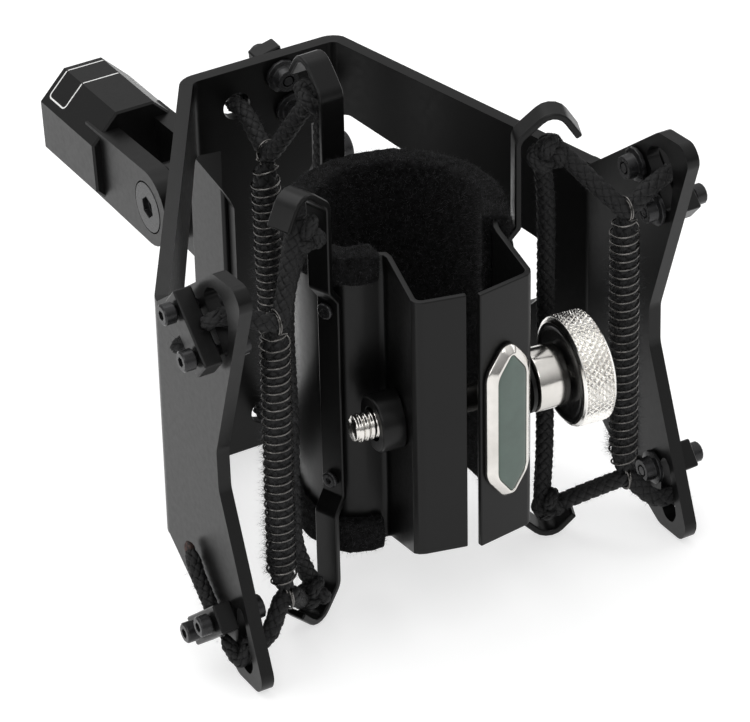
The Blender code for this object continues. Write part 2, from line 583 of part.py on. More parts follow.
# badge on the right front face
fa, fb = Vector((-2.1, -29.8)), Vector((9.9, -28.2))
run = (fb - fa).normalized()
front_n = Vector((run.y, -run.x, 0))
mid = (fa + fb) / 2 + Vector(front_n[:2]) * (CLAMP_T / 2 + GAP) + run * 0.3
BADGE = [(-5.65, -13.2), (0, -21.0), (5.65, -13.2), (5.65, 13.2), (0, 21.0), (-5.65, 13.2)]
m = axes((mid.x, mid.y, 1.2), (run.x, run.y, 0), (0, 0, 1), front_n)
bezel = prism("badge_bezel", round_corners(BADGE, [2.5, 1.2, 2.5, 2.5, 1.2, 2.5], 3), 2.4, m, STEEL, bevel=0.4)
inner = [(x * 0.66, y * 0.86) for x, y in BADGE]
cutter = prism("badge_pocket", round_corners(inner, 1.2, 3), 3, m @ Matrix.Translation((0, 0, 0.9 * MM)), collection=CUTTERS, smooth=0)
boolean(bezel, cutter)
clean(bezel)
inner = [(x * 0.60, y * 0.84) for x, y in BADGE]
prism("badge_enamel", round_corners(inner, 1.0, 3), 0.9, m @ Matrix.Translation((0, 0, 1.2 * MM)), ENAMEL)

# suspension brackets: strap folded in a radial plane
LEG_R, PAD_R = 25.9, BARREL_R + GAP + STRAP_T / 2
SIDE_PATH = [(38.9, 50.6), (34.0, 58.2), (LEG_R, 50.8), (LEG_R, 29.6), (PAD_R, 25.8), (PAD_R, -24.4), (LEG_R, -28.0), (LEG_R, -46.4), (33.0, -53.4), (38.6, -47.2)]


def strap_outline(path, thickness):
    pts = fillet_path(path, [4.4, 3.4, 1.6, 1.6, 1.6, 1.6, 3.4, 4.0], 5)
    left, right = [], []
    for i, p in enumerate(pts):
        a = (p - pts[i - 1]).normalized() if i else None
        b = (pts[i + 1] - p).normalized() if i + 1 < len(pts) else None
        t = (a or b) if not (a and b) else (a + b).normalized()
        k = 1.0 if not (a and b) else 1 / t.dot(a)
        n = Vector((t.y, -t.x)) * k * thickness / 2
        left.append(p + n)
        right.append(p - n)
    return left + right[::-1]


BRACKETS = (("right", BRACKET_DEG[0], 0.0), ("left", BRACKET_DEG[1], 0.0), ("rear", BRACKET_DEG[2], -REAR_DROP))
for tag, angle, drop in BRACKETS:
    a = math.radians(angle)
    radial = Vector((math.cos(a), math.sin(a), 0))
    side = Vector((-math.sin(a), math.cos(a), 0))
    origin = Vector((CLAMP_X, CLAMP_Y, drop)) + side * STRAP_W / 2
    rear_path = [(r, z + (0.0 if drop == 0 or z > -40 else 1.2)) for r, z in SIDE_PATH]
    strap = prism("suspension_bracket_" + tag, strap_outline(rear_path, STRAP_T), STRAP_W,
                  axes(origin, radial, (0, 0, 1), -side) if radial.cross(Vector((0, 0, 1))).dot(-side) > 0 else
                  axes(origin - side * STRAP_W, radial, (0, 0, 1), side), BLACK, bevel=0.28)
    for k, z in enumerate((23.2, -20.2)):
        point = Vector((CLAMP_X, CLAMP_Y, z + drop)) + radial * (PAD_R + STRAP_T / 2 + GAP)
        socket_screw("pad_screw_%s_%d" % (tag, k + 1), point, radial, 0.9, head_r=1.9, head_h=1.1, shank_r=0.9, key=1.3, chamfer=0.3, sides=12)
        pocket = cylinder("screw_seat", 1.25, 2.4, facing(point - radial * 1.35, radial), collection=CUTTERS, sides=12)
        boolean(strap, pocket)
    clean(strap)

# ---- slings -----------------------------------------------------------------------------------------------
def coil(name, top, bottom, mat=SPRING):
    """The spring's body as a plain tube of its outer size; the wire is wound round it later."""
    return tube(name, [Vector(top).lerp(Vector(bottom), k / 6) for k in range(7)], SPRING_R, mat, 2)


SLING = {}
for side, tag in ((1, "right"), (-1, "left")):
    a = math.radians(BRACKET_DEG[0] if side == 1 else BRACKET_DEG[1])
    radial = Vector((math.cos(a), math.sin(a), 0))
    centre = Vector((CLAMP_X, CLAMP_Y, 0))

    def at(r, z, c=centre, d=radial):
        v = c + d * r
        v.z = z
        return v

    run_r = 32.8 if side == 1 else 34.6
    run_t = Vector((0.9, 2.4, 0)) if side == 1 else Vector((-1.0, 2.2, 0))
    top_eye, low_eye = Vector((side * 41.9, -16.4, 33.0)), Vector((side * 42.0, -17.0, -35.4))
    coil("coil_spring_" + tag, (side * 41.9, -15.7, 28.6), (side * 42.5, -16.0, -29.8))
    outside = side * (ARM_X + SHEET + 0.45 + CORD_R * 0)
    hole = Vector((side * (ARM_X + 1.5), -14.6, 38.0))
    slot = Vector((side * (ARM_X + 1.5), -20.6, -42.5))
    SLING[tag] = dict(top_eye=top_eye, low_eye=low_eye, hole=hole, slot=slot, at=at)
    route = [hole + Vector((side * -0.6, 0, 0)), hole + Vector((side * -4.5, -0.8, -1.6)), top_eye + Vector((side * 1.2, 0, 0.9)), top_eye + Vector((side * -1.4, 0.4, 1.4)),
             at(35.4, 46.2), at(33.0, 48.6), at(31.4, 45.0), at(run_r, 30.0) + run_t, at(run_r, 0.0) + run_t, at(run_r, -30.0) + run_t, at(31.8, -44.4), at(33.3, -48.4), at(36.0, -46.4),
             low_eye + Vector((side * -1.4, 0.4, -1.0)), low_eye + Vector((side * 1.2, 0, -1.2)), slot + Vector((side * -4.5, 0.6, 0.6)), slot + Vector((side * -0.6, 0, 0))]
    tube("sling_cord_" + tag, smooth_route(route, 5.5), CORD_R, CORD, 1)

top_eye, low_eye = Vector((-6.7, 53.6, 25.6)), Vector((-6.6, 53.4, -37.0))
coil("coil_spring_rear", (-7.8, 53.2, 19.4), (-7.0, 53.2, -31.8))
hole = Vector((REAR_UP_HOLE[0], REAR_Y + 1.0, REAR_UP_HOLE[1]))
slot = Vector((REAR_LOW_HOLE[0], REAR_Y + 1.0, REAR_LOW_HOLE[1]))


def back(r, z):
    return Vector((CLAMP_X, CLAMP_Y + r, z))


route = [hole, hole + Vector((0, -5.0, 0.2)), top_eye + Vector((-0.3, 1.4, 1.0)), top_eye + Vector((0.4, -1.6, 1.4)),
         back(35.4, 45.2), back(33.0, 47.8), back(31.4, 44.4), back(32.0, 28.0), back(32.0, 0.0), back(32.0, -30.0), back(31.8, -44.0), back(33.3, -48.0), back(36.0, -45.2),
         low_eye + Vector((0.4, -1.6, -1.0)), low_eye + Vector((0, 1.6, -1.2)), slot + Vector((0, -5.5, 0.2)), slot]
tube("sling_cord_rear", smooth_route(route, 5.5), CORD_R, CORD, 1)
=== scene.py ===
"""Sling shock mount: folded sheet frame, sprung cord slings, felt-lined clamp, thumb screw and stand adapter.

Lengths are millimetres in the mount's own upright frame until W() turns them into the row's metres.
"""
import json
import math

import bmesh
import bpy
import numpy as np
from mathutils import Matrix, Vector


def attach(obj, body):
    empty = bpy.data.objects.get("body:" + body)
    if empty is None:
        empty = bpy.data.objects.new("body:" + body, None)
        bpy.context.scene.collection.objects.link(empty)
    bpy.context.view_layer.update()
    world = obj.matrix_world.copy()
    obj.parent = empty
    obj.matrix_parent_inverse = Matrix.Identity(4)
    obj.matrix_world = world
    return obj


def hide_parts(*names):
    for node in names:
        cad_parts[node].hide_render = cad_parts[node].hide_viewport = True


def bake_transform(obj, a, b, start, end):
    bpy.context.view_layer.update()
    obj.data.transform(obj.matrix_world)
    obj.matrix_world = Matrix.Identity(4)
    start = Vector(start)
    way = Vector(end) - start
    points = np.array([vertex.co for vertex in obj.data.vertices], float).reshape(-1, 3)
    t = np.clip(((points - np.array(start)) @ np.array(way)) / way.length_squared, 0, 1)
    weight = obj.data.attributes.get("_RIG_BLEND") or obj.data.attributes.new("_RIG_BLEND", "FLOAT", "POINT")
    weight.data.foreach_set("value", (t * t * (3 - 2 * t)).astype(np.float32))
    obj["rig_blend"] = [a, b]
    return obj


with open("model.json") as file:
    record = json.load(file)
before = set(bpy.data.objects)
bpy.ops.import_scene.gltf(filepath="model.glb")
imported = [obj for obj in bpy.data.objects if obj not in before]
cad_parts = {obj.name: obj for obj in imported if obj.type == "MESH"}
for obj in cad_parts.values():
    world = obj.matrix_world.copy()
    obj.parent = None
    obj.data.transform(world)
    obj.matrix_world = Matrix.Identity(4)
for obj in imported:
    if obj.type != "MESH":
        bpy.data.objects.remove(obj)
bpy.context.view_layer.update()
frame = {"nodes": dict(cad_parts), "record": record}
RECORD = frame["record"]
BODY_OF = {n: b for b, ns in RECORD["behaviour"]["bodies"].items() for n in ns}

LEAN = math.radians(6.85)
ROOT = Matrix.Translation((0.0, -0.065764, 0.05395)) @ Matrix.Rotation(LEAN, 4, "X")
ROOT_R = np.array(ROOT.to_3x3())
ROOT_T = np.array(ROOT.translation)


def W(p):
    return ROOT @ (Vector(p) * 0.001)


# ---- camera ------------------------------------------------------------------------------------------------
cam = bpy.data.cameras.new("camera")
cam_obj = bpy.data.objects.new("camera", cam)
bpy.context.scene.collection.objects.link(cam_obj)
fwd = Vector((0.3942, 0.7238, -0.5663)).normalized()
right = Vector((0.8723, -0.4886, -0.0174))
up = Vector((0.2893, 0.4871, 0.8240))
M = Matrix((right, up, -fwd)).transposed().to_4x4()
M.translation = Vector((-366.1, -653.4, 514.5)) * 0.001
cam.lens = 203.84
cam.sensor_width = 36
cam.sensor_fit = "HORIZONTAL"
cam.clip_start = 0.05
cam.clip_end = 10
cam_obj.matrix_world = ROOT @ M
bpy.context.scene.camera = cam_obj
bpy.context.scene.view_settings.view_transform = "Standard"


# ---- materials ---------------------------------------------------------------------------------------------
class Mat:
    def __init__(self, name, colour, rough, metal=0.0, **sockets):
        self.m = bpy.data.materials.new(name)
        self.m.use_nodes = True
        self.t = self.m.node_tree
        self.b = self.t.nodes["Principled BSDF"]
        self.set("Base Color", (*colour, 1))
        self.set("Roughness", rough)
        self.set("Metallic", metal)
        for k, v in sockets.items():
            self.set(k.replace("_", " "), v)
        self.co = self.t.nodes.new("ShaderNodeTexCoord").outputs["Object"]
        self.bumped = None

    def set(self, socket, value):
        self.b.inputs[socket].default_value = value

    def noise(self, scale, detail=3.0, rough=0.55, stretch=None):
        src = self.co
        if stretch:
            mp = self.t.nodes.new("ShaderNodeMapping")
            mp.inputs["Scale"].default_value = stretch
            self.t.links.new(src, mp.inputs["Vector"])
            src = mp.outputs["Vector"]
        n = self.t.nodes.new("ShaderNodeTexNoise")
        n.inputs["Scale"].default_value = scale
        n.inputs["Detail"].default_value = detail
        n.inputs["Roughness"].default_value = rough
        self.t.links.new(src, n.inputs["Vector"])
        return n.outputs["Fac"]

    def ramp(self, fac, stops, socket):
        r = self.t.nodes.new("ShaderNodeValToRGB")
        r.color_ramp.elements[0].position, r.color_ramp.elements[0].color = stops[0][0], (*stops[0][1], 1)
        r.color_ramp.elements[1].position, r.color_ramp.elements[1].color = stops[-1][0], (*stops[-1][1], 1)
        for pos, col in stops[1:-1]:
            e = r.color_ramp.elements.new(pos)
            e.color = (*col, 1)
        self.t.links.new(fac, r.inputs["Fac"])
        self.t.links.new(r.outputs["Color"], self.b.inputs[socket])

    def spread(self, fac, lo, hi, socket="Roughness"):
        r = self.t.nodes.new("ShaderNodeMapRange")
        r.inputs["To Min"].default_value = lo
        r.inputs["To Max"].default_value = hi
        r.inputs["From Min"].default_value = 0.3
        r.inputs["From Max"].default_value = 0.7
        self.t.links.new(fac, r.inputs["Value"])
        self.t.links.new(r.outputs["Result"], self.b.inputs[socket])

    def bump(self, fac, strength, distance):
        n = self.t.nodes.new("ShaderNodeBump")
        n.inputs["Strength"].default_value = strength
        n.inputs["Distance"].default_value = distance
        self.t.links.new(fac, n.inputs["Height"])
        if self.bumped:
            self.t.links.new(self.bumped, n.inputs["Normal"])
        self.t.links.new(n.outputs["Normal"], self.b.inputs["Normal"])
        self.bumped = n.outputs["Normal"]


black = Mat("satin_black_coat", (0.0032, 0.0032, 0.0032), 0.34, 0.0, Specular_IOR_Level=0.22)
black.spread(black.noise(700, 4), 0.29, 0.37)
black.ramp(black.noise(50, 3), [(0.3, (0.0027, 0.0027, 0.0027)), (0.7, (0.0038, 0.0038, 0.0038))], "Base Color")
black.bump(black.noise(2600, 3, 0.7), 0.05, 0.00003)

oxide = Mat("black_oxide", (0.020, 0.020, 0.021), 0.3, 0.5, Specular_IOR_Level=0.5)
oxide.spread(oxide.noise(1500, 3), 0.24, 0.38)
oxide.bump(oxide.noise(4000, 2), 0.08, 0.00003)

felt = Mat("felt_black", (0.007, 0.007, 0.0073), 1.0, 0.0, Specular_IOR_Level=0.03, Sheen_Weight=0.02, Sheen_Roughness=0.6)
felt.ramp(felt.noise(800, 6, 0.85), [(0.40, (0.0012, 0.0012, 0.0012)), (0.62, (0.0125, 0.0125, 0.013))], "Base Color")
felt.bump(felt.noise(1500, 5, 0.8), 0.9, 0.0005)
felt.bump(felt.noise(420, 3, 0.6), 0.5, 0.0008)

fuzz_mat = Mat("felt_fibre", (0.008, 0.008, 0.0085), 0.8, 0.0, Specular_IOR_Level=0.2)
fuzz_mat.ramp(fuzz_mat.noise(900, 2), [(0.3, (0.006, 0.006, 0.0062)), (0.66, (0.075, 0.075, 0.078))], "Base Color")

braid_mat = Mat("braid_black", (0.006, 0.006, 0.0063), 0.65, 0.0, Specular_IOR_Level=0.28)
braid_mat.ramp(braid_mat.noise(1600, 4, 0.7), [(0.3, (0.003, 0.003, 0.0032)), (0.7, (0.010, 0.010, 0.0105))], "Base Color")
braid_mat.bump(braid_mat.noise(5200, 3, 0.7), 0.7, 0.0001)

burnt = Mat("burnt_braid", (0.03, 0.012, 0.008), 0.6)
burnt.ramp(burnt.noise(1400, 3), [(0.35, (0.006, 0.005, 0.005)), (0.65, (0.05, 0.02, 0.014))], "Base Color")
burnt.bump(burnt.noise(1800, 3), 0.8, 0.0003)

spring = Mat("spring_wire", (0.16, 0.155, 0.15), 0.26, 1.0)
spring.spread(spring.noise(1800, 3), 0.18, 0.34)
spring.ramp(spring.noise(500, 3), [(0.3, (0.07, 0.068, 0.065)), (0.7, (0.19, 0.182, 0.175))], "Base Color")

nickel = Mat("bright_nickel", (0.70, 0.675, 0.64), 0.16, 1.0)
nickel.spread(nickel.noise(700, 4, stretch=(1, 6, 6)), 0.12, 0.22)
nickel.ramp(nickel.noise(160, 3), [(0.3, (0.62, 0.60, 0.565)), (0.7, (0.76, 0.735, 0.70))], "Base Color")
nickel.bump(nickel.noise(2400, 2, stretch=(14, 1, 1)), 0.06, 0.00004)

knurled = Mat("knurled_nickel", (0.88, 0.865, 0.83), 0.18, 1.0)
knurled.spread(knurled.noise(900, 3), 0.13, 0.24)
knurled.ramp(knurled.noise(160, 3), [(0.3, (0.84, 0.82, 0.79)), (0.7, (0.95, 0.935, 0.90))], "Base Color")

# A darker copy of the bright nickel; it goes on the thumb disc's near face as painted shade.
shade_painted_nickel = Mat("nickel_painted_shade", (0.02, 0.02, 0.02), 0.3, 0.7, Specular_IOR_Level=0.4)
shade_painted_nickel.spread(shade_painted_nickel.noise(900, 3, stretch=(1, 5, 5)), 0.25, 0.38)

enamel = Mat("green_enamel", (0.040, 0.075, 0.058), 0.3, 0.0, Coat_Weight=0.5, Coat_Roughness=0.1)
enamel.ramp(enamel.noise(300, 3), [(0.3, (0.036, 0.068, 0.052)), (0.7, (0.046, 0.084, 0.065))], "Base Color")
enamel.bump(enamel.noise(1500, 2), 0.05, 0.00005)

white = Mat("printed_line", (0.72, 0.72, 0.71), 0.55)
white.ramp(white.noise(1500, 3), [(0.3, (0.64, 0.64, 0.63)), (0.7, (0.78, 0.78, 0.77))], "Base Color")

FINISH = {"satin_black_anodise": black, "black_oxide_steel": oxide, "black_felt": felt, "black_braid": braid_mat,
          "spring_steel": spring, "bright_nickel": nickel, "green_enamel": enamel}
SLOT_OF = {s["node"]: s["material_slot"] for s in RECORD["subparts"]}


# ---- mesh helpers ------------------------------------------------------------------------------------------
def link(name, me, mat, body=None, at_node=None, blend=None):
    me.materials.clear()
    me.materials.append(mat.m)
    o = bpy.data.objects.new(name, me)
    bpy.context.scene.collection.objects.link(o)
    if blend:
        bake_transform(o, *blend)
    elif body:
        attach(o, body)
    return o


def unit(a):
    return a / np.maximum(np.linalg.norm(a, axis=-1, keepdims=True), 1e-12)


def catmull(points, per=40):
    p = np.array([tuple(q) for q in points], float)
    p = np.vstack([2 * p[0] - p[1], p, 2 * p[-1] - p[-2]])
    t = np.arange(per)[:, None] / per
    out = []
    for i in range(1, len(p) - 2):
        a, b, c, d = p[i - 1], p[i], p[i + 1], p[i + 2]
        out.append(0.5 * ((2 * b) + (c - a) * t + (2 * a - 5 * b + 4 * c - d) * t ** 2 + (3 * b - a - 3 * c + d) * t ** 3))
    out.append(p[-2][None])
    return np.vstack(out)


def even(p, step):
    d = np.concatenate([[0], np.cumsum(np.linalg.norm(np.diff(p, axis=0), axis=1))])
    n = max(4, int(round(d[-1] / step)))
    s = np.linspace(0, d[-1], n + 1)
    return np.stack([np.interp(s, d, p[:, k]) for k in range(3)], 1), s


def carried(p, start=None):
    """Tangent, normal and side along a path, with the normal carried along without twist."""
    t = np.gradient(p, axis=0)
    t = unit(t)
    n = np.zeros_like(t)
    s = np.array(start, float) if start is not None else np.cross(t[0], (0.31, 0.22, 0.93))
    n[0] = unit(s - t[0] * (s @ t[0]))
    for i in range(1, len(p)):
        v = n[i - 1] - t[i] * (n[i - 1] @ t[i])
        n[i] = v / max(np.linalg.norm(v), 1e-12)
    return t, n, np.cross(t, n)


class Bag:
    """Collects tubes and fibres and makes one mesh of them."""

    def __init__(self):
        self.v, self.f, self.n = [], [], 0

    def add(self, v, f):
        self.v.append(np.asarray(v, float).reshape(-1, 3))
        self.f += [tuple(int(i) + self.n for i in q) for q in f]
        self.n += len(self.v[-1])

    def rings(self, rings, caps=True, closed=False):
        m, k = rings.shape[0], rings.shape[1]
        f = []
        for i in range(m if closed else m - 1):
            a, b = i * k, ((i + 1) % m) * k
            for j in range(k):
                f.append((a + j, a + (j + 1) % k, b + (j + 1) % k, b + j))
        if caps and not closed:
            f.append(tuple(range(k))[::-1])
            f.append(tuple((m - 1) * k + j for j in range(k)))
        self.add(rings.reshape(-1, 3), f)

    def tube(self, p, r, sides=8, start=None, closed=False, flat=1.0):
        p = np.asarray(p, float)
        t, n, b = carried(p, start)
        ang = np.linspace(0, 2 * math.pi, sides, endpoint=False)
        r = np.broadcast_to(np.asarray(r, float), (len(p),))
        ring = p[:, None] + r[:, None, None] * (n[:, None] * np.cos(ang)[None, :, None] + b[:, None] * (flat * np.sin(ang))[None, :, None])
        self.rings(ring, closed=closed)

    def make(self, name, mat, smooth=True, **kw):
        v = np.vstack(self.v) * 0.001 @ ROOT_R.T + ROOT_T
        me = bpy.data.meshes.new(name)
        me.from_pydata(v.tolist(), [], self.f)
        me.polygons.foreach_set("use_smooth", [smooth] * len(me.polygons))
        me.update()
        return link(name, me, mat, **kw)


def braid(bag, route, r=2.08, carriers=5, pitch=13.0, step=0.3, taper=None):
    """A braided sheath: strands wind both ways and pass over and under each other."""
    p, s = even(catmull(route), step)
    t, n, b = carried(p)
    scale = np.ones(len(p)) if taper is None else np.interp(s / s[-1], *zip(*taper))
    w = 2 * math.pi / pitch
    beta = math.atan(w * r)
    ang = np.linspace(0, 2 * math.pi, 6, endpoint=False)
    wide, thick, amp = 0.98 * r / 2.08 * 5 / carriers, 0.40 * r / 2.08, 0.24 * r / 2.08
    for sign in (1, -1):
        for k in range(carriers):
            ph = 2 * math.pi * k / carriers + sign * w * s
            rad = (r - thick - amp + sign * amp * np.cos(carriers * w * s)) * scale
            e = n * np.cos(ph)[:, None] + b * np.sin(ph)[:, None]
            q = t * math.cos(beta) + sign * (-n * np.sin(ph)[:, None] + b * np.cos(ph)[:, None]) * math.sin(beta)
            side = np.cross(e, q)
            c = p + e * rad[:, None]
            ring = c[:, None] + side[:, None] * (wide * np.cos(ang))[None, :, None] * scale[:, None, None] + e[:, None] * (thick * np.sin(ang))[None, :, None] * scale[:, None, None]
            bag.rings(ring)
    bag.tube(p[::4], (r - 0.78) * scale[::4], 8)


def fibres(bag, base, normal, length, radius, rand, lean=0.9):
    """Short bent hairs on a surface."""
    m = len(base)
    side = unit(np.cross(normal, rand.normal(size=(m, 3))))
    ln = length * (0.45 + rand.random(m) ** 2 * 1.1)
    d1 = unit(normal + side * lean * rand.random((m, 1)))
    d2 = unit(d1 + unit(rand.normal(size=(m, 3))) * 0.9)
    p0, p1 = base - normal * 0.1, base + d1 * (ln * 0.5)[:, None]
    p2 = p1 + d2 * (ln * 0.5)[:, None]
    x = unit(np.cross(d1, rand.normal(size=(m, 3))))
    y = np.cross(d1, x)
    ang = np.array([0, 2.094, 4.189])
    off = x[:, None] * np.cos(ang)[None, :, None] + y[:, None] * np.sin(ang)[None, :, None]
    v = np.stack([p0[:, None] + off * radius, p1[:, None] + off * radius * 0.8, p2[:, None] + off * radius * 0.35], 1)
    f = []
    for i in range(m):
        o = i * 9
        for a in (0, 3):
            for j in range(3):
                f.append((o + a + j, o + a + (j + 1) % 3, o + a + 3 + (j + 1) % 3, o + a + 3 + j))
        f.append((o + 6, o + 7, o + 8))
    bag.add(v.reshape(-1, 3), f)


def to_design(co):
    return (co - ROOT_T) @ ROOT_R * 1000


def cad_copy(node, name):
    """A CAD node's mesh as a new mesh in the row frame, with its flat faces joined up again."""
    src = frame_object(node)
    me = src.data.copy()
    me.name = name
    me.transform(src.matrix_world)
    bm = bmesh.new()
    bm.from_mesh(me)
    bmesh.ops.remove_doubles(bm, verts=bm.verts, dist=2e-6)
    bmesh.ops.dissolve_limit(bm, angle_limit=math.radians(0.6), verts=bm.verts, edges=bm.edges, use_dissolve_boundaries=False)
    bm.to_mesh(me)
    bm.free()
    for a in list(me.attributes):
        if a.name.startswith("custom_normal") or a.name == "sharp_edge" or a.name == "sharp_face":
            me.attributes.remove(a)
    me.polygons.foreach_set("use_smooth", [True] * len(me.polygons))
    me.update()
    return me


def frame_object(node):
    o = frame["nodes"][node]
    return o if hasattr(o, "data") else bpy.data.objects[o]


def refined(node, width, limit=28, segments=2, mat=None):
    """The node's own shape with the small rounded edges that the real sheet has."""
    me = cad_copy(node, node + "_finish")
    o = link(node + "_finish", me, mat or FINISH[SLOT_OF[node]], body=BODY_OF[node])
    bev = o.modifiers.new("edge", "BEVEL")
    bev.width = width * 0.001
    bev.segments = segments
    bev.limit_method = "ANGLE"
    bev.angle_limit = math.radians(limit)
    bev.harden_normals = False
    bev.use_clamp_overlap = True
    wn = o.modifiers.new("normals", "WEIGHTED_NORMAL")
    wn.keep_sharp = False
    wn.weight = 80
    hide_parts(node)
    return o


# every CAD node carries its procedural finish
for node in frame["nodes"]:
    ob = frame_object(node)
    ob.data.materials.clear()
    ob.data.materials.append(FINISH[SLOT_OF[node]].m)

for node, width in (("outer_frame", 0.6), ("clamp_shell", 0.32), ("clamp_jaw", 0.32), ("stand_adapter", 0.5), ("swivel_base", 0.35),
                    ("suspension_bracket_left", 0.42), ("suspension_bracket_right", 0.42), ("suspension_bracket_rear", 0.42)):
    refined(node, width)

for node in sorted(frame["nodes"]):
    if node.startswith(("clamp_screw", "flange_nut", "pad_screw")) or node in ("threaded_boss", "flanged_bush", "pivot_bolt", "pivot_knob"):
        refined(node, 0.14, limit=42)
    elif node.startswith("cord_clamp_bar"):
        refined(node, 0.35)

rand = np.random.default_rng(11)
SLIDE = {}


# ---- felt --------------------------------------------------------------------------------------------------
def stage_modifiers(o, *steps):
    for kind, settings in steps:
        md = o.modifiers.new(kind.lower(), kind)
        for k, v in settings.items():
            setattr(md, k, v)


def felt_lining():
    """One lining through both halves of the clamp; it bends with the sheet at the back."""
    bm = bmesh.new()
    for node in ("felt_liner_left", "felt_liner_right"):
        bm.from_mesh(cad_copy(node, node + "_src"))
    me = bpy.data.meshes.new("felt_lining")
    bm.to_mesh(me)
    bm.free()
    o = link("felt_lining", me, felt)
    grow = 0.00045
    tex = bpy.data.textures.new("felt_lumps", "CLOUDS")
    tex.noise_scale = 0.0026
    tex.noise_depth = 3
    stage_modifiers(o, ("DISPLACE", dict(strength=grow, mid_level=0.0)),
                    ("REMESH", dict(mode="VOXEL", voxel_size=0.0006, use_smooth_shade=True)),
                    ("DISPLACE", dict(strength=-grow + 0.0003, mid_level=0.0)),
                    ("SMOOTH", dict(factor=0.5, iterations=30)),
                    ("DISPLACE", dict(strength=0.0007, mid_level=0.5, texture=tex, texture_coords="LOCAL")))
    dg = bpy.context.evaluated_depsgraph_get()
    done = bpy.data.meshes.new_from_object(o.evaluated_get(dg))
    o.modifiers.clear()
    o.data = done
    done.materials.clear()
    done.materials.append(felt.m)
    bend = ("cradle", "jaw", W((-5.0, 0, 0)), W((3.5, 0, 0)))
    # nap: hairs over the whole surface
    done.calc_loop_triangles()
    tri = np.zeros(len(done.loop_triangles) * 3, int)
    done.loop_triangles.foreach_get("vertices", tri)
    co = np.zeros(len(done.vertices) * 3)
    done.vertices.foreach_get("co", co)
    co = to_design(co.reshape(-1, 3))
    tri = tri.reshape(-1, 3)
    a, b, c = co[tri[:, 0]], co[tri[:, 1]], co[tri[:, 2]]
    nn = np.cross(b - a, c - a)
    area = np.linalg.norm(nn, axis=1) / 2
    count = int(area.sum() * (2.0))
    pick = rand.choice(len(tri), count, p=area / area.sum())
    u, v = rand.random(count), rand.random(count)
    flip = u + v > 1
    u[flip], v[flip] = 1 - u[flip], 1 - v[flip]
    base = a[pick] + (b - a)[pick] * u[:, None] + (c - a)[pick] * v[:, None]
    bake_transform(o, *bend)
    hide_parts("felt_liner_left", "felt_liner_right")
    bag = Bag()
    fibres(bag, base, unit(nn[pick]), 1.15, 0.022, rand, lean=1.6)
    bag.make("felt_fibres", fuzz_mat, blend=bend)


felt_lining()


# ---- slings ------------------------------------------------------------------------------------------------
CX, CY = -1.6, 5.9


def wire(bag, points, r=0.33, step=0.28):
    p, _ = even(catmull(points, 16), step)
    bag.tube(p, r, 6)


